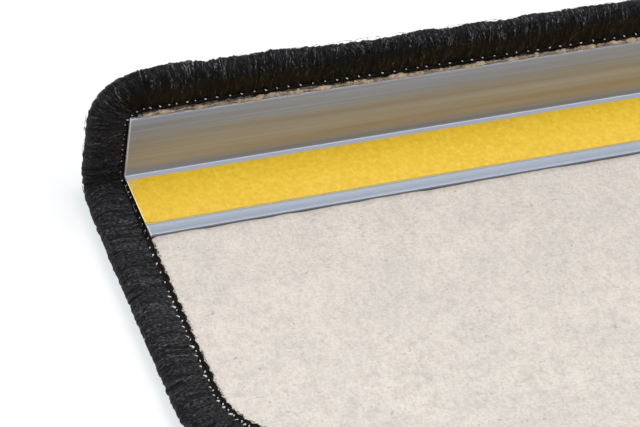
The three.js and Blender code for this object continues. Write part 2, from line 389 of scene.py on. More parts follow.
def yarnMaterial(name="whipping_yarn"):
    # Three sets of fibres along the strands cross at slight slants, on the strip's own map in mm. shade is low
    # between strands, as painted shade; the warm tint is 1 for painted shade with warm bounced light, calm 1
    # where its fibres are even and the painted glints give way
    material, tree, place = newMaterial(name, "UV")
    fibres = 0.0
    for slant, scale in ((0.1, (2.0, 0.2, 1)), (-0.2, (2.4, 0.28, 1)), (0.36, (2.7, 0.36, 1))):
        turned = addNode(tree, "Mapping", {"Vector": place, "Rotation": (0, 0, slant)})
        fibres = maths(tree, "MAXIMUM", fibres, stretchedNoise(tree, turned.outputs[0], scale, 2))
    crimped = stretchedNoise(tree, place, (2.9, 0.8, 1), 3, 0.62)
    grit = stretchedNoise(tree, place, (2.6, 1.2, 1), 2, 0.6)
    paintedWarmTint, shade, calm = (attribute(tree, key) for key in ("paintedWarmTint", "shade", "calm"))
    # The lightest, bluish fibres are painted glints
    dark = ramp(tree, fibres, {
        0.49: (7, 7, 6), 0.55: (34, 32, 31), 0.62: (96, 96, 101), 0.69: (142, 142, 151),
        0.78: (188, 188, 198)})
    # Painted shade with warm bounced light, for below the crest on the flap's top
    warm = ramp(tree, fibres, {0.5: (3, 2, 1), 0.56: (10, 7, 3), 0.63: (66, 51, 30), 0.74: (138, 110, 74)})
    even = ramp(tree, crimped, {
        0.36: (18, 17, 17), 0.47: (45, 44, 45), 0.57: (80, 78, 82), 0.7: (116, 112, 121)})
    colour = mixColours(tree, paintedWarmTint, mixColours(tree, calm, dark, even), warm)
    for source, deep, mild in (
        (shade, {0.0: 40, 0.5: 150, 1.0: 255}, {0.0: 96, 0.5: 190, 1.0: 255}),
        (grit, {0.4: 60, 0.5: 170, 0.6: 255}, {0.36: 150, 0.6: 255}),
    ):
        dimmed = mixColours(tree, calm, ramp(tree, source, deep), ramp(tree, source, mild))
        colour = mixColours(tree, 1.0, colour, dimmed, "MULTIPLY")
    return finish(material, colour, (fibres, 1.0, 0.0006), Roughness=0.5, Specular_IOR_Level=0.12)


def plainYarn(name, colour, roughness, scale=2200, shine=0.5):
    material, tree, place = newMaterial(name)
    grain = stretchedNoise(tree, place, (scale, scale, scale))
    grained = ramp(tree, grain, {0.3: linear(colour, 0.55), 0.7: colour})
    return finish(material, grained, (grain, 0.4, 0.0001), Roughness=roughness, Specular_IOR_Level=shine)


def feltMaterial():
    # Soft clouds, short fibres laid both ways and darker specks. Painted shade darkens it a little to the right
    # and towards the angle, and a painted shadow darkens it most where it meets the ledge
    material, tree, place = newMaterial("cream_felt")
    clouds = stretchedNoise(tree, place, (70, 80, 80), 4, 0.6)
    smudges = stretchedNoise(tree, place, (280, 330, 330), 5, 0.72)
    lengthwise = stretchedNoise(tree, place, (600, 1700, 1700), 3, 0.7)
    crosswise = stretchedNoise(tree, place, (1700, 700, 700), 3, 0.7)
    specks = stretchedNoise(tree, place, (420, 520, 520), 4, 0.65)
    weave = maths(tree, "MULTIPLY", lengthwise, crosswise)
    fromLeft = between(tree, place, "X", -300, -200)
    nearAngle = between(tree, place, "Y", ledgeY - 90, ledgeY)
    paintedContactShadow = between(tree, place, "Y", ledgeY - 2.2, ledgeY)
    colour = tinted(
        tree,
        ramp(tree, clouds, {0.34: (211, 204, 197), 0.5: (216, 208, 199), 0.66: (221, 213, 203)}),
        (smudges, {0.34: (243, 242, 242), 0.52: 255}),
        (weave, {0.14: (233, 232, 230), 0.3: 255}),
        (specks, {0.27: (212, 207, 201), 0.36: 255}),
        # Painted shade: darker to the right, towards the angle, and in a painted shadow at the ledge
        (fromLeft, {0.0: 255, 1.0: 249}),
        (nearAngle, {0.0: 255, 1.0: (248, 247, 246)}),
        (paintedContactShadow, {0.0: 255, 0.6: (240, 239, 238), 1.0: (214, 210, 206)}),
    )
    sockets = dict(Roughness=0.95, Specular_IOR_Level=0.15, Sheen_Weight=0.05)
    return finish(material, colour, (weave, 0.4, 0.0003), **sockets)


def pileMaterial():
    material, tree, place = newMaterial("charcoal_pile")
    tufts = stretchedNoise(tree, place, (420, 420, 420), 4, 0.7)
    fibres = stretchedNoise(tree, place, (2400, 2400, 2400), 3, 0.7)
    colour = ramp(tree, tufts, {0.3: (34, 34, 37), 0.7: (74, 75, 80)})
    colour = tinted(tree, colour, (fibres, {0.3: 150, 0.7: 255}))
    return finish(material, colour, (fibres, 0.8, 0.0006), Roughness=0.95, Sheen_Weight=0.2)


def aluminiumMaterial():
    # Die lines and broad streaks running along X. The colour by height over the corner is a painted reflection:
    # bluish on the flat flange and high on the upright part, warm low on it, and a painted highlight along its
    # top edge
    material, tree, place = newMaterial("anodised_aluminium")
    lines = stretchedNoise(tree, place, (2, 900, 900), 5, 0.7)
    streaks = stretchedNoise(tree, place, (7, 230, 230), 4, 0.55)
    upright = between(tree, place, "Z", cornerZ, profileHigh[2] / mm)
    colour = ramp(tree, upright, {
        0.0: (163, 171, 184), 0.03: (172, 171, 172), 0.1: (181, 178, 174), 0.45: (172, 173, 178),
        0.8: (164, 177, 202), 0.945: (163, 172, 191), 0.965: (190, 199, 216)})
    # The streaks on the upright part carry a warm painted reflection
    paintedWarmReflection = {0.36: (240, 227, 209), 0.5: (246, 242, 237), 0.64: (252, 253, 253)}
    streaked = tinted(tree, colour, (streaks, paintedWarmReflection))
    colour = mixColours(tree, ramp(tree, upright, {0.0: 0, 0.04: 255}), colour, streaked)
    # Die lines, then painted light and shade of the ledge's grooves and painted shade along its front edge
    colour = tinted(
        tree,
        colour,
        (lines, {0.3: (232, 233, 236), 0.6: 255}),
        (attribute(tree, "paintedLedgeShading"), {0.0: (212, 213, 213), 0.4: (240, 241, 243), 1.0: 255}),
    )
    # Painted light on the flat strip between the corner and the liner
    colour = mixColours(tree, attribute(tree, "paintedLitStrip"), colour, linear((207, 215, 229)))
    # Painted highlight along the cut ends
    colour = mixColours(tree, attribute(tree, "cut"), colour, linear((236, 238, 242)))
    return finish(material, colour, (lines, 0.12, 0.00005), Metallic=0.35, Roughness=0.4)


def linerMaterial():
    # Fine mottle and a slow drift, with painted light across it: lighter and warmer towards the corner, cooler
    # towards the ledge. The warm tint marks a painted peach reflection at the corner of its left end, cut the
    # pale cut end
    material, tree, place = newMaterial("yellow_liner")
    mottle = stretchedNoise(tree, place, (640, 600, 600), 5, 0.75)
    drift = stretchedNoise(tree, place, (20, 60, 60), 2)
    # Painted light across the liner: lighter and warmer towards the corner, cooler towards the ledge
    across = between(tree, place, "Y", cornerY - 22, cornerY - 3)
    colour = tinted(
        tree,
        ramp(tree, mottle, {0.3: (222, 177, 24), 0.5: (232, 192, 42), 0.72: (241, 209, 74)}),
        (across, {0.0: (244, 243, 250), 1.0: (255, 254, 228)}),
        (drift, {0.3: (250, 247, 240), 0.7: 255}),
    )
    # Painted peach reflection at the corner of the left end
    colour = mixColours(tree, attribute(tree, "paintedWarmTint"), colour, linear((226, 190, 138)))
    colour = mixColours(tree, attribute(tree, "cut"), colour, linear((252, 243, 212)))
    return finish(material, colour, (mottle, 0.15, 0.0001), Roughness=0.5)


def plasticMaterial(name, colour):
    material, tree, place = newMaterial(name)
    grain = stretchedNoise(tree, place, (300, 300, 300))
    return finish(material, ramp(tree, grain, {0.3: colour, 0.7: linear(colour, 1.15)}), Roughness=0.6)


# Camera: azimuth, elevation and roll in degrees, place from the angle's left corner

cameraSet = dict(place=(-184.0, -471.4, 484.5), azimuth=-28.16, elevation=43.98, roll=10.58, lens=129.4)


def makeCamera():
    camera = addObject("photo_camera", bpy.data.cameras.new("photo_camera"))
    camera.data.lens = cameraSet["lens"]
    camera.data.clip_start, camera.data.clip_end = 0.01, 20
    a, e, roll = (radians(cameraSet[key]) for key in ("azimuth", "elevation", "roll"))
    back = Vector((sin(a) * cos(e), -cos(a) * cos(e), sin(e)))
    level = Vector((cos(a), sin(a), 0))
    right = level * cos(roll) + back.cross(level) * sin(roll)
    turned = Matrix((right, back.cross(right), back)).transposed().to_4x4()
    place = Vector((profileEnd, cornerY, cornerZ)) + Vector(cameraSet["place"])
    camera.matrix_world = Matrix.Translation(place * mm) @ turned
    bpy.context.scene.camera = camera


makeCamera()
print("camera set")

# Whipping: yarn wound over the cut edge

whipping = dict(
    back=5.625,  # half the width, outer edge to stitch line
    bulge=0.72,  # yarn's mean height over the carpet
    fullness=0.75,
    lip=0.2,
    lipEnd=11.85,
    spans=("whipping_flap_corner", "whipping_rear_left", "whipping_rear_right", "whipping_flap_right"),
    spanStart=150,  # along the edge from the middle of the flap
    fineStep=0.2,
    step=0.8,
    rows=42,
    strandPitch=0.86,
    stitchRelief=0.42,
    strandRelief=0.27,
    girth=-0.65,  # slow wave of the yarn's thickness
    girthLength=26,
    swellAt=(  # along the edge
        *(150, 157, 163, 170, 179, 185, 192, 198, 204, 209, 216, 225, 232, 240, 248, 260),
        *(267, 273, 282, 287, 295, 302, 306, 310, 318, 330, 338, 344, 352, 358, 364, 370),
        *(380, 390, 402, 417, 432, 440, 446, 453, 470),
    ),
    swell=(
        *(0, 0.2, 0.35, -0.2, 0.25, -0.2, -0.45, 0.55, 0.15, -0.15, 0.4, -0.2, -0.6, -0.4, -0.8, -0.75),
        *(0.1, -0.55, -0.1, -0.8, 0.2, 0.25, -0.05, -0.4, -0.5, -0.75, -0.75, -0.6, 0, -0.1, 0.7, 0.45),
        *(0.15, -0.05, 0.15, 0.7, 0.1, -0.15, 0, 0.25, 0),
    ),
    seamBlend=15,
    slot=3.4,
    slotPlay=0.02,
)


def whippingSection():
    # inset = half width * (1 - cos), depth = middle + crest * sin^fullness, in even steps from the felt side
    half, lip, lipEnd = layers["carpet"] / 2, whipping["lip"], whipping["lipEnd"]
    turn = np.linspace(-pi / 2, pi / 2, 4001)
    crest = np.sign(turn) * np.abs(np.sin(turn)) ** whipping["fullness"]
    inset = np.concatenate([[lipEnd], whipping["back"] * (1 - np.cos(turn)), [lipEnd]])
    depth = np.concatenate([[-lip], half + (half + whipping["bulge"]) * crest, [2 * half + lip]])
    walked = np.append(0, np.cumsum(np.hypot(np.diff(inset), np.diff(depth))))
    share = np.linspace(0, 1, whipping["rows"])
    rows = [np.interp(share * walked[-1], walked, way) for way in (inset, depth)]
    inset, depth = (np.convolve(np.pad(row, 2, "edge"), np.ones(5) / 5, "valid") for row in rows)
    out = np.stack([-np.gradient(depth), np.gradient(inset)])
    out /= np.hypot(*out)
    return dict(share=share, inset=inset, depth=depth, outInset=out[0], outDepth=out[1], length=walked[-1])


section = whippingSection()


def onWhipping(along, share, height):
    # Point of the whipping's section at a share of the way round it, moved outwards by the height
    keys = ("inset", "depth", "outInset", "outDepth")
    inset, depth, outInset, outDepth = (np.interp(share, section["share"], section[key]) for key in keys)
    return nearEdge(along, inset + height * outInset, depth + height * outDepth)


def whippingRelief(along, share):
    # Each stitch is a bundle between two needle holes, of half-round strands that wander between their ends.
    # Gives the height, the share of light that reaches the strand, and the strand's own place along the edge
    free = clamped(np.minimum(share, 1 - share) * 7)
    lean = 0.3 * softNoise(along / 34, 3, 11) * (share - 0.15)
    wander = 0.24 * softNoise(along / 5.5, share * 3.5, 12) + 0.12 * softNoise(along / 1.6, share * 6, 13)
    shift = lean + wander * free
    place = stitchNumber(along) + shift
    stitchIndex = np.floor(place)
    swell = np.sin(pi * (place - stitchIndex)) ** 0.6 * perItem(stitchIndex, 0.55, 1.25, 14) - 0.6
    swell = swell * (1 - 0.55 * free)
    fibrePlace = along + shift * stitch["pitch"]
    strandPlace = fibrePlace / whipping["strandPitch"] + 0.6 * softNoise(along / 1.7, share * 5, 18) * free
    strandIndex = np.floor(strandPlace)
    across = 2 * (strandPlace - strandIndex) - 1
    strand = np.sqrt(1 - across**2) * perItem(strandIndex, 0.25, 1.4, 15)
    weave = softNoise(strandIndex * 1.37, share * 7 + strandIndex * 0.61, 16)
    lump = 0.16 * softNoise(along / 10, share * 3, 17) + 0.1 * softNoise(along / 2.4, share * 4, 19)
    girth = whipping["girth"] * softNoise(along / whipping["girthLength"], 7.3, 309)
    girth = (girth + np.interp(along, whipping["swellAt"], whipping["swell"])) * np.sin(pi * share)
    height = whipping["stitchRelief"] * swell + whipping["strandRelief"] * (strand - 0.7 + 0.7 * weave * free)
    shade = 0.1 + 0.62 * strand + 0.4 * weave + 0.25 * swell
    return height + lump * free + girth, clamped(shade), fibrePlace


def seamlessRelief(along, share):
    # Just before the first span's start the relief turns into the one at the start
    height, shade, fibrePlace = whippingRelief(along, share)
    over = clamped((along - whipping["spanStart"] - edgeLength) / whipping["seamBlend"] + 1)
    if over.max() > 0:
        firstHeight, firstShade, _ = whippingRelief(along - edgeLength, share)
        height = height * (1 - over) + firstHeight * over
        shade = shade * (1 - over) + firstShade * over
    return height, shade, fibrePlace


def paintedWarmReflection(along, share):
    # Painted shade with warm bounced light below the yarn's crest along the flap's top
    _, run, _, inRun = edgePoint(along)
    return clamped(-1.6 * inRun - 0.6) * (run > 0) * clamped((0.37 - share) / 0.13)


def calmness(along):
    # How far the painted glints and the painted shade between strands give way to even yarn: none along the
    # flap's top, more on its sides, full on the tread
    _, run, _, inRun = edgePoint(along)
    return 0.95 * (1 + np.minimum(inRun, 0)) + 0.05 * clamped((-run - 10) / 30)


def makeWhipping():
    # Strips of the section, each closed inside by a slot for the carpet and by a fan at either end
    material = yarnMaterial()
    spanLength = edgeLength / len(whipping["spans"])
    lipEnd, slot, play = whipping["lipEnd"], whipping["slot"], whipping["slotPlay"]
    slotInset = np.array([lipEnd, slot, slot, lipEnd])
    slotDepth = np.array([1, 1, 0, 0]) * (layers["carpet"] + 2 * play) - play
    rows = whipping["rows"] + len(slotInset)
    rowPlace = np.append(section["share"], np.ones(len(slotInset))) * section["length"]
    ring = np.arange(rows)
    for number, name in enumerate(whipping["spans"]):
        columns = int(spanLength / (whipping["step"] if number else whipping["fineStep"]))
        along = whipping["spanStart"] + spanLength * (number + np.linspace(0, 1, columns)[:, None])
        alongGrid, shareGrid = np.broadcast_arrays(along, section["share"])
        height, shade, place = seamlessRelief(alongGrid, shareGrid)
        outer = onWhipping(alongGrid, shareGrid, height)
        outer[..., 2] = np.maximum(outer[..., 2], 0)  # flattened where it rests
        points = np.concatenate([outer, nearEdge(along, slotInset, slotDepth)], 1)
        place = np.concatenate([place, along + 0 * slotInset], 1)
        uv = np.stack([place, rowPlace + 0 * place], -1).reshape(-1, 2)
        values = dict(paintedWarmTint=paintedWarmReflection(alongGrid, shareGrid), shade=shade, calm=calmness(alongGrid))
        hidden = ((0, 0), (0, len(slotInset)))
        middle = columns * rows + 0 * ring
        last = (columns - 1) * rows + ring
        fans = np.array([[middle, np.roll(ring, -1), ring], [middle + 1, last, np.roll(last, -1)]])
        piece = newPiece(
            name,
            material,
            np.concatenate([points.reshape(-1, 3), points[[0, -1]].mean(1)]),
            gridQuads(columns, rows, False, True),
            fans.transpose(0, 2, 1).reshape(-1, 3),
            np.concatenate([uv, np.zeros((2, 2))]),
            {key: np.append(np.pad(value, hidden), [0, 0]) for key, value in values.items()},
        )
        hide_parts("edge_whipping")


fuzz = dict(count=5200, length=(1.2, 4.5), rise=(0.04, 0.28), thickness=0.065, steps=5, sides=3)


def makeFuzz():
    # Stray fibres, mostly round the section, a little bent, that rise by their length squared or arch over
    chance = np.random.default_rng(71)
    size = (fuzz["count"], 1)
    t = np.linspace(0, 1, fuzz["steps"])
    start = chance.uniform(0, edgeLength, size)
    share = chance.uniform(0.02, 0.98, size)
    ordered = chance.uniform(0, 1, size) < 0.75
    heading = np.where(ordered, chance.normal(0, 0.5, size), chance.uniform(-1.5, 1.5, size))
    length = chance.uniform(*fuzz["length"], size)
    curl = chance.normal(0, 0.35, size)
    rise = chance.uniform(*fuzz["rise"], size)
    looped = chance.uniform(0, 1, size) < 0.7
    along = start + length * t * np.sin(heading) + curl * length * t**2
    way = share + length * t * np.cos(heading) / section["length"]
    way = np.where(way > 0.985, 1.97 - way, way)
    height = 0.02 + rise * np.where(looped, 4 * t * (1 - t) - 0.15, 1.6 * t**2 - 0.1)
    paths = onWhipping(along, way, height)
    radius = fuzz["thickness"] * (1 - 0.6 * t)
    points, quads, ends = tubes(paths, radius, fuzz["sides"], onWhipping(along, way, height + 1) - paths)
    values = dict(shade=np.ones(len(points)))
    for key, value in (("paintedWarmTint", paintedWarmReflection(along, way)), ("calm", calmness(along))):
        values[key] = np.concatenate([np.repeat(value, fuzz["sides"]), value[:, 0], value[:, -1]])
    uv = np.stack([points[:, 0] * 3, points[:, 1] + points[:, 2]], -1)
    piece = newPiece("whipping_fuzz", yarnMaterial("stray_fibres"), points, quads, ends, uv, values)
    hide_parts("edge_whipping")


fringe = dict(
    count=2300, inset=12.4, reach=(0.4, 1.3), flapRise=0.95, treadRise=-0.2, treadShift=0.6, treadShare=0.7,
    steps=4, sides=3, thickness=0.085)


def makeFringe():
    # Short dark fibres from the chain, lying over the felt, or forward over the lint where the flap stands
    chance = np.random.default_rng(75)
    size = (fringe["count"], 1)
    t = np.linspace(0, 1, fringe["steps"])
    start = chance.uniform(0, edgeLength, size)
    onFlap = edgePoint(start)[1] > 0
    reach = chance.uniform(*fringe["reach"], size) * np.where(onFlap, 1, fringe["treadShare"])
    along = start + chance.normal(0, 0.7, size) * t
    inset = fringe["inset"] + np.where(onFlap, 0, fringe["treadShift"]) + reach * t
    depth = -0.5 - np.where(onFlap, fringe["flapRise"], fringe["treadRise"]) * t - 0.25 * np.sin(pi * t)
    fibres = edgeTubes(along, inset, depth, fringe["thickness"] * (1 - 0.5 * t), fringe["sides"])
    piece = newPiece("chain_fringe", plainYarn("fringe_yarn", (26, 21, 17), 0.7, shine=0.1), *fibres)
    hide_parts("looper_chain")


makeWhipping()
makeFuzz()
makeFringe()

# Stitching: white needle thread and the dark chain of loops beside it

thread = dict(
    thickness=0.42, dot=0.34, rise=0.3, steps=6, sides=6,
    openFrom=44, legLength=1.15, legInset=0.6, legThickness=(0.22, 0.62), wedge=0.6,
    besideInset=0.42, besideRise=0.75, besideSize=0.6)
chain = dict(
    strand=0.42, halfLength=0.5, halfWidth=0.4, sideWidth=0.66, climb=0.35, steps=10, sides=5,
    core=0.55, coreClimb=0.9, coreSteps=1500, coreSides=6, besideShift=0.15)


def besideAngle(run):
    # 1 where the edge passes the angle's flat flange, 0 elsewhere
    return clamped((run - ledgeRun + 1.5) / 1.5) * clamped((1 - run) / 3)


def makeNeedleThread():
    # A short arch at each needle hole, further in and higher beside the angle. Behind openFrom a slanted leg
    # between each two holes, a wedge whose radius grows evenly
    index = np.arange(stitchCount)
    t = np.linspace(-1, 1, thread["steps"])
    arch = np.cos(t * pi / 2)
    centre = stitchAt(index + perItem(index, -0.11, 0.11, 21))[:, None]
    run = edgePoint(centre)[1]
    beside = besideAngle(run)
    index = index[:, None]
    onSide = (run > 3) & (run < flapCornerRun)
    buried = onSide & (perItem(index, 0, 1, 28) < 0.75)
    sized = perItem(index, 0.4, 1.3, 23) * np.where(onSide, 0.55, 1) * np.where(buried, 0.4, 1)
    sized = sized * (1 - (1 - thread["besideSize"]) * beside)
    turned = perItem(index, -1.2, 0.3, 22)
    inset = stitch["threadInset"] + perItem(index, -0.15, 0.15, 24) + thread["besideInset"] * beside
    dotAlong = centre + thread["dot"] * sized * t
    dotInset = inset + turned * t * thread["dot"]
    dotDepth = -0.22 - thread["rise"] * arch * np.minimum(sized, 1) - thread["besideRise"] * beside
    dotRadius = thread["thickness"] / 2 * np.sqrt(1.05 - t**2) * (1 - 0.2 * beside)
    dotRadius = dotRadius * np.where(buried, 0.45, np.where(onSide, 0.75, 1))
    legged = index[run < cornerY - bendY - thread["openFrom"]][:, None]
    reach = t * perItem(legged, 0.5, 1.3, 25) * thread["legLength"] / 2
    legAlong = stitchAt(legged + 0.5 + perItem(legged, -0.1, 0.1, 26)) + 0.7 * reach
    legInset = inset[legged[:, 0]] - thread["legInset"] + 0.75 * reach
    legRadius = perItem(legged, *thread["legThickness"], 29) / 2 * (1 + thread["wedge"] * t)
    legDepth = -0.3 - 0.2 * arch + 0 * reach
    pairs = (dotAlong, legAlong), (dotInset, legInset), (dotDepth, legDepth), (dotRadius, legRadius)
    stitches = edgeTubes(*map(np.concatenate, pairs), thread["sides"])
    piece = newPiece("needle_stitches", plainYarn("white_thread", (232, 232, 228), 0.5), *stitches)
    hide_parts("needle_thread")


def makeLooperChain():
    # An oval loop for each stitch, lifted where it passes over the next one and all along the angle's end
    index = np.arange(stitchCount)[:, None]
    turn = np.linspace(0, 2 * pi, chain["steps"], endpoint=False)
    centre = stitchAt(index + 0.5 + perItem(index, -0.06, 0.06, 31))
    reach = chain["halfLength"] * np.mod(stitchAt(index + 1) - stitchAt(index), edgeLength)
    onTread = edgePoint(centre)[1] < 0
    wide = perItem(index, 0.75, 1.3, 32)
    wide = wide * np.where(onTread, chain["sideWidth"] / chain["halfWidth"], perItem(index, 0.4, 1.7, 34))
    along = centre + reach * np.cos(turn)
    beside = besideAngle(edgePoint(along)[1])
    wide = wide * (1 - 0.45 * beside)
    inset = stitch["chainInset"] + chain["halfWidth"] * wide * np.sin(turn) + chain["besideShift"] * beside
    inset = inset + 0.2 * softNoise(along / 3.2, 0, 33)
    depth = -0.2 - 0.16 * np.cos(turn) * wide - chain["climb"] * beside
    loops = edgeTubes(along, inset, depth, chain["strand"], chain["sides"], True)
    piece = newPiece("chain_loops", plainYarn("looper_yarn", (34, 28, 24), 0.8, 1500, 0.1), *loops)
    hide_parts("looper_chain")


def makeChainCore():
    # Dark cord that fills the loops, lifted beside the angle, whose cut end it covers
    along = np.linspace(0, edgeLength, chain["coreSteps"], endpoint=False)[None]
    beside = besideAngle(edgePoint(along)[1])
    inset = stitch["chainInset"] + chain["besideShift"] * beside
    radius = chain["core"] + 0.08 * softNoise(along / 2.5, 0, 36) + 0.05 * beside
    cord = edgeTubes(along, inset, -chain["coreClimb"] * beside, radius, chain["coreSides"], True)
    piece = newPiece("chain_core", plainYarn("chain_core_yarn", (20, 17, 15), 0.8, shine=0.1), *cord)
    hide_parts("looper_chain")


makeNeedleThread()
makeLooperChain()
makeChainCore()
print("stitching made,", stitchCount, "stitches")

# Felt and pile: two layers of the carpet, each a closed shell over the mat's outline

felt = dict(
    columns=210, treadRows=54, ledgeRows=12, bendRows=6, flapRows=10, relief=0.16, rise=1.1, riseLength=5)
pile = dict(columns=220, treadRows=60, ledgeRows=6, bendRows=6, flapRows=10, relief=0.4)


def outlineRuns(x, inset):
    # Start and end of the inset outline at x: circles for corners and rear, a straight for the flap's top
    far = np.abs(x)
    small = rearCorner - inset
    onCorner = far > rearCornerX + small * sin(rearHalfAngle)
    corner = cornerRun - np.sqrt(np.clip(small**2 - (far - rearCornerX) ** 2, 0, None))
    rear = rearCentreRun - np.sqrt((rearRadius - inset) ** 2 - far**2)
    flapSmall = flapCorner - inset
    past = np.clip(far - flapCornerX, 0, flapSmall)
    return np.where(onCorner, corner, rear), flapCornerRun + np.sqrt(flapSmall**2 - past**2)


def edgeInset(x, run):
    # Distance in from the outer edge: to the straights, or to the circle of a corner or of the rear
    far = np.abs(x)
    straightIn = np.minimum(halfLength - far, flapTopRun - run)
    flapRound = flapCorner - np.hypot(far - flapCornerX, run - flapCornerRun)
    inset = np.where((far > flapCornerX) & (run > flapCornerRun), flapRound, straightIn)
    rear = rearRadius - np.hypot(x, run - rearCentreRun)
    rearRound = rearCorner - np.hypot(far - rearCornerX, run - cornerRun)
    inset = np.where(run < cornerRun, np.minimum(inset, rear), inset)
    return np.where((far > rearCornerX) & (run < cornerRun), np.minimum(inset, rearRound), inset)


def layerGrid(shape, inset):
    # Columns crowd towards both ends by a sine. Rows go over tread, ledge, bend and flap, and close up before
    # the ledge by the square of the way
    closeFrom, closeTo = ledgeRun - 8, ledgeRun - 0.25
    angle = np.linspace(-pi / 2, pi / 2, shape["columns"])
    x = (halfLength - inset) * (0.35 * np.sin(angle) + 0.65 * np.linspace(-1, 1, shape["columns"]))
    low, high = (end[:, None] for end in outlineRuns(x, inset))
    tread = low + (closeFrom - low) * np.linspace(0, 1, shape["treadRows"], endpoint=False)
    close = closeTo - (closeTo - closeFrom) * np.linspace(1, 0, shape["ledgeRows"]) ** 2
    under = np.concatenate([close, [ledgeRun - 0.05], np.linspace(ledgeRun + 1, 0, 4, endpoint=False)])
    bend = np.linspace(0, bendLength, shape["bendRows"], endpoint=False)
    flap = bendLength + (high - bendLength) * np.linspace(0, 1, shape["flapRows"])
    run = np.concatenate([tread, np.append(under, bend) + 0 * low, flap], 1)
    return x[:, None] + 0 * run, run


def closedLayer(name, material, x, run, *depths):
    # The near side, the far side and a strip round the rim between them
    sides = [bendPoint(x, run, depth).reshape(-1, 3) for depth in depths]
    return newPiece(name, material, np.concatenate(sides), shellQuads(*x.shape))


def makeFelt():
    # Low soft lumps about 4 and 11 mm across, fading out at the cut edge. Before the ledge, which presses it
    # down, the felt rises by an exponential of the distance
    x, run = layerGrid(felt, layers["cutInset"])
    inside = edgeInset(x, run)
    lumps = 0.6 * softNoise(x / 4, run / 4, 41) + 0.4 * softNoise(x / 11, run / 11, 42)
    free = clamped((inside - 13.5) / 4) * clamped(-(run + 26) / 3)
    depth = np.minimum(-felt["relief"] * (0.4 + lumps) * free, 0.12)
    ahead = ledgeRun - 0.2 - run
    swollen = felt["rise"] * np.exp(-np.maximum(ahead, 0) / felt["riseLength"])
    swollen = swollen * (1 + 0.25 * softNoise(x / 6, 2, 43))
    depth = depth - np.where(ahead > 0, swollen, 0) * clamped((inside - 12.6) / 1.5)
    piece = closedLayer("felt_underside", feltMaterial(), x, run, depth, layers["felt"])
    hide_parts("felt_backing")


lint = dict(
    inset=13.65, depth=-0.85, radius=0.58, steps=1100, sides=8,
    hairs=2600, hairLength=(0.9, 3.2), hairThickness=0.07)


def makeLint():
    # Tan fluff over the upright flange's top: a ragged roll whose radius follows two noises, and hairs on it
    reach = -profileEnd - 2.5
    x = np.linspace(-reach, reach, lint["steps"])
    radius = 0.8 + 0.75 * softNoise(x / 2.4, 1, 81) + 0.5 * softNoise(x / 0.8, 2, 82)
    radius = lint["radius"] * np.maximum(radius, 0.2) * clamped((reach - np.abs(x)) / 5 + 0.25)
    inset = lint["inset"] + 0.12 * softNoise(x / 5, 3, 83) + 0.1 * softNoise(x / 1.2, 4, 84)
    depth = lint["depth"] - 0.15 + 0.3 * softNoise(x / 3.1, 5, 85)
    roll = tubes(bendPoint(x, flapTopRun - inset, depth)[None], radius, lint["sides"], (0.0, 0.0, 1.0))
    chance = np.random.default_rng(86)
    t = np.linspace(0, 1, 4)
    size = (lint["hairs"], 1)
    start = chance.uniform(-reach, reach, size)
    heading = chance.normal(0, 0.5, size) + pi * chance.integers(0, 2, size)
    length = chance.uniform(*lint["hairLength"], size)
    x = np.clip(start + length * t * np.cos(heading), -reach, reach)
    inset = lint["inset"] + chance.uniform(-0.55, 0.45, size) + length * 0.45 * t * np.sin(heading)
    inset = np.clip(inset + 0.3 * chance.normal(0, 1, size) * t**2, lint["inset"] - 0.9, lint["inset"] + 0.9)
    depth = lint["depth"] - chance.uniform(0.2, 0.75, size) - 0.25 * np.sin(pi * t)
    hairs = tubes(bendPoint(x, flapTopRun - inset, depth), lint["hairThickness"], 3, (0.0, -0.7, 0.7))
    shifts = (0, len(roll[0]), len(roll[0]))
    both = (np.concatenate([mine, other + shift]) for mine, other, shift in zip(roll, hairs, shifts))
    piece = newPiece("felt_lint", plainYarn("tan_lint", (206, 184, 156), 0.9, 1300, 0.2), *both)
    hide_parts("felt_backing")


def makePile():
    # Tuft lumps about 2.5 mm across over the far side, held thin under the whipping
    x, run = layerGrid(pile, layers["cutInset"])
    stand = clamped((edgeInset(x, run) - 2 * whipping["back"] - 0.3) / 1.5)
    tufts = 0.7 * softNoise(x / 2.6, run / 2.6, 51) + 0.3 * softNoise(x / 7, run / 7, 52)
    far = layers["carpet"] - 0.1 + stand * (layers["pileStand"] + 0.1 - pile["relief"] * (0.5 + 0.5 * tufts))
    piece = closedLayer("pile_face", pileMaterial(), x, run, layers["pileFrom"], far)
    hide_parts("carpet_pile")


makeFelt()
makeLint()
makePile()
print("felt and pile made")

# Angle, tapes and liner

profile = dict(
    drop=23.2,
    edgeRound=0.38,  # front edge of the upright flange's top
    backRound=0.15,
    fillet=0.3,
    outerCorner=1.0,
    endRound=0.16,
    ledgeRound=0.25,
    grooves=(5 / 3, 10 / 3),  # from the free edge
    grooveWidth=0.5,
    grooveDepth=0.012,
    # A band painted lighter, on the flat strip between the corner and the liner
    brightStrip=2.6,  # band of the flat flange between the corner and the liner
    # Painted light and shade of the grooves in bands, and painted shade at the ledge's front edge
    bandAt=3.25,
    bandPitch=3.4,
    darkEdge=0.35,
)


def rounding(distance, radius):
    # How far a quarter circle lies below its own tangent, at a distance from where it starts
    return radius - np.sqrt(radius**2 - np.clip(radius - distance, 0, radius) ** 2)


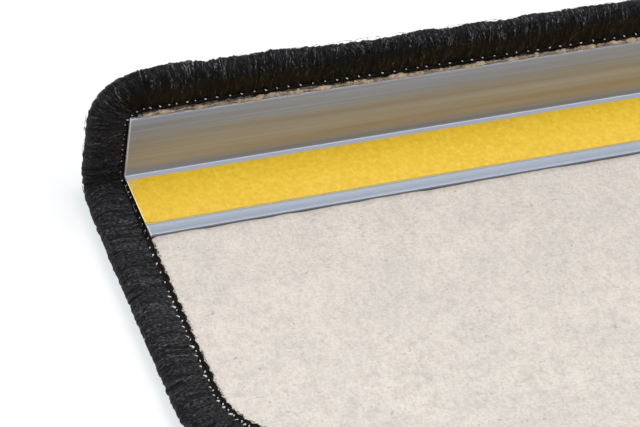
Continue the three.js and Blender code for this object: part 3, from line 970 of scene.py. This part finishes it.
def makeProfile():
    # Pairs of points on the inner and the outer face, from the ledge's edge to the top of the upright flange.
    # Edges are quarter circles; a groove is half of (1 + cos) across its width
    tread, drop, wall = flangeReach, profile["drop"], flangeWall
    fillet, corner = profile["fillet"], profile["outerCorner"]
    nearEnd = np.array([0, 0.02, 0.06, 0.12, 0.2, 0.3, 0.42])
    grooved = np.arange(-tread + 0.6, -tread + 5.4, 0.08)
    flat = np.concatenate([-tread + nearEnd, grooved, np.linspace(-tread + 6, -2, 8), [-1, -fillet]])
    fromEdge = flat + tread
    fromGrooves = np.abs(fromEdge - np.array(profile["grooves"])[:, None]) * 2 / profile["grooveWidth"]
    groove = (0.5 + 0.5 * np.cos(pi * np.minimum(fromGrooves, 1))).sum(0)
    sunk = -profile["grooveDepth"] * groove - rounding(fromEdge, profile["ledgeRound"])
    flatInner = np.stack([flat, sunk], -1)
    flatOuter = np.stack([flat, -wall + rounding(fromEdge, profile["backRound"])], -1)
    turn = np.linspace(0, pi / 2, 7)[1:-1]
    quarter = np.stack([np.sin(turn), -np.cos(turn)], -1)
    bendInner = np.array([-fillet, fillet]) + fillet * quarter
    bendOuter = np.array([wall - corner, corner - wall]) + corner * quarter
    up = np.concatenate([[fillet, 1], np.linspace(2, drop - 1, 10), (drop - nearEnd)[::-1]])
    upInner = np.stack([rounding(drop - up, profile["edgeRound"]), up], -1)
    upOuter = np.stack([wall - rounding(drop - up, profile["backRound"]), up], -1)
    inner = np.concatenate([flatInner, bendInner, upInner])
    outer = np.concatenate([flatOuter, bendOuter, upOuter])
    fromEnd = np.array([0, 0.02, 0.06, 0.11, 0.16, 0.4])
    middle = np.linspace(profileEnd + 1, -profileEnd - 1, 60)
    x = np.concatenate([profileEnd + fromEnd, middle, (-profileEnd - fromEnd)[::-1]])
    pull = rounding(np.minimum(x - profileEnd, -profileEnd - x), profile["endRound"])[:, None, None]
    across = (outer - inner) / np.linalg.norm(outer - inner, axis=1, keepdims=True)
    loop = np.concatenate([inner + across * pull, (outer - across * pull)[:, ::-1]], 1)
    xGrid = x[:, None] + 0 * loop[..., 0]
    points = np.stack([xGrid, cornerY + loop[..., 0], cornerZ + loop[..., 1]], -1)
    rows = 2 * len(inner)
    k = np.arange(len(inner) - 1)
    cap = np.stack([k, k + 1, rows - 2 - k, rows - 1 - k], -1)
    quads = np.concatenate([gridQuads(len(x), rows, False, True), cap[:, ::-1], cap + (len(x) - 1) * rows])
    # Painted highlight along the cut ends
    cutEnd = clamped(1.3 - np.minimum(xGrid - profileEnd, -profileEnd - xGrid) * 4)
    # Painted light on the flat strip next to the corner
    inStrip = (loop[..., 0] > -profile["brightStrip"]) & (loop[..., 1] > -0.05) & (loop[..., 1] < 0.1)
    ledgeWay = loop[..., 0] + tread
    # Painted light and shade of the grooves in bands along the ledge, and painted shade at its front edge
    bands = 0.7 + 0.3 * np.cos(2 * pi * (ledgeWay - profile["bandAt"]) / profile["bandPitch"])
    paintedLedgeShading = np.where(ledgeWay < 6, bands, 0.7)  # light and dark bands along the ledge, and a dark edge
    paintedLedgeShading = paintedLedgeShading * clamped(ledgeWay / profile["darkEdge"] - 0.2)
    values = dict(cut=cutEnd, paintedLitStrip=1.0 * inStrip, paintedLedgeShading=paintedLedgeShading)
    points = points.reshape(-1, 3)
    piece = newPiece("angle_extrusion", aluminiumMaterial(), points, quads, values=values, sharp=40)
    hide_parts("angle_profile")


liner = dict(columns=240, rows=12, wave=0.05, endLift=0.5, ledgeSide=0.55, cornerSide=0.8, overEnd=0.35)


def makeLiner():
    # Thin paper with a slow wave, the ledge-side corner of its left end lifting by the square of the way
    low, high = (np.array(corner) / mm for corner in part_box("release_liner"))
    x0, y0, y1 = profileEnd - liner["overEnd"], low[1] - liner["ledgeSide"], high[1] - liner["cornerSide"]
    t = np.linspace(0, 1, liner["columns"])[1:]
    x = np.append(x0 + np.array([0, 0.12, 0.26, 0.4, 0.8]), x0 + (high[0] - x0) * (0.5 * t + 0.5 * t**3))
    x, y = np.meshgrid(x, np.linspace(y0, y1, liner["rows"]), indexing="ij")
    end = clamped(1 - (x - x0) / 2.4)
    corner = clamped(1 - (y - y0) / 3.5)
    rise = liner["wave"] * (1 + softNoise(x / 14, y / 9, 61)) + liner["endLift"] * end**2 * corner
    heights = (high[2] + rise, low[2] + 0.02 + rise * 0.9)
    points = np.concatenate([np.stack([x, y, z], -1).reshape(-1, 3) for z in heights])
    # Painted peach reflection at the corner of the left end
    peach = clamped(0.8 - np.hypot((x - x0) / 1.2, (y1 - y) / 1.5) / 4)
    cutEnd = clamped(1.9 - (x - x0) / 0.14)
    values = dict(paintedWarmTint=[peach, peach], cut=[cutEnd, cutEnd])
    piece = newPiece("yellow_liner", linerMaterial(), points, shellQuads(*x.shape), values=values, sharp=40)
    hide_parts("release_liner")


def makeTape():
    # The tape under the liner, its upper edges cut at a slant
    low, high = (np.array(corner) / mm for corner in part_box("adhesive_tape"))
    y0, y1, slant = low[1] - liner["ledgeSide"], high[1] - liner["cornerSide"], 0.1
    y = np.array([y0, y1, y1, y1 - slant, y0 + slant, y0])
    z = np.array([low[2], low[2], high[2] - slant, high[2], high[2], high[2] - slant])
    x = np.linspace(profileEnd - liner["overEnd"] / 2, high[0], 40)[:, None]
    points = np.stack([x + 0 * y, y + 0 * x, z + 0 * x], -1).reshape(-1, 3)
    caps = np.array([[0, 1, 2, 3], [0, 3, 4, 5]])
    faces = [gridQuads(len(x), len(y), False, True), caps, caps[:, ::-1] + len(points) - len(y)]
    quads = np.concatenate(faces)[:, ::-1]
    piece = newPiece("pale_tape", plasticMaterial("pale_tape", (244, 230, 176)), points, quads, sharp=40)
    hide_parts("adhesive_tape")


makeProfile()
makeLiner()
makeTape()
bondMaterial = plasticMaterial("bonding_strip", (110, 99, 85))
for name in ("bond_strip_tread", "bond_strip_flap"):
    nodes[name].data.materials.clear()
    nodes[name].data.materials.append(bondMaterial)
print("angle and tapes made")

# Floor and light

studio = dict(
    floorSize=12.0,
    floorDrop=0.0002,
    floorColour=(0.33, 0.28, 0.27, 1),
    floorGlow=(0.625, 0.685, 0.70, 1),
    worldColour=(0.94, 0.96, 1.0, 1),
    worldStrength=0.62,
    keyPower=22,
    fillPower=5,
    aim=(-0.1, 0, 0),
)


def makeFloor():
    half = studio["floorSize"] / 2
    mesh = bpy.data.meshes.new("floor")
    corners = [(-half, -half, 0), (half, -half, 0), (half, half, 0), (-half, half, 0)]
    mesh.from_pydata(corners, [], [(0, 1, 2, 3)])
    floor = addObject("floor", mesh)
    floor.location.z = -studio["floorDrop"]
    material = bpy.data.materials.new("pale_floor")
    material.use_nodes = True
    tree = material.node_tree
    rays = addNode(tree, "LightPath").outputs
    seen = maths(tree, "MAXIMUM", rays["Is Camera Ray"], rays["Is Glossy Ray"])
    seen = maths(tree, "MAXIMUM", seen, rays["Is Transmission Ray"])
    finish(
        material,
        studio["floorColour"],
        Roughness=0.9,
        Specular_IOR_Level=0.1,
        Emission_Color=studio["floorGlow"],
        Emission_Strength=seen,
    )
    mesh.materials.append(material)


def makeLamp(name, place, size, power, colour):
    lamp = addObject(name, bpy.data.lights.new(name, "AREA"))
    lamp.data.shape = "RECTANGLE"
    lamp.data.size, lamp.data.size_y = size
    lamp.data.energy = power
    lamp.data.color = colour
    way = Vector(studio["aim"]) - Vector(place)
    lamp.matrix_world = Matrix.Translation(place) @ way.to_track_quat("-Z", "Y").to_matrix().to_4x4()


def makeLight():
    world = bpy.data.worlds.new("studio")
    bpy.context.scene.world = world
    world.use_nodes = True
    tree = world.node_tree
    seen = addNode(tree, "LightPath").outputs["Is Camera Ray"]
    strength = {0: seen, 2: studio["worldStrength"], 3: 1.0}
    strength = addNode(tree, "Mix", strength, data_type="FLOAT").outputs[0]
    fillInputs(tree, tree.nodes["Background"], {"Color": studio["worldColour"], "Strength": strength})
    makeLamp("overhead", (0.35, 0.3, 1.6), (1.4, 1.0), studio["keyPower"], (1, 1, 1))
    makeLamp("left_fill", (-1.3, -0.7, 0.9), (1.2, 1.0), studio["fillPower"], (1, 0.98, 0.95))


makeFloor()
makeLight()
bpy.context.scene.view_settings.view_transform = "Standard"
print("floor and light made")
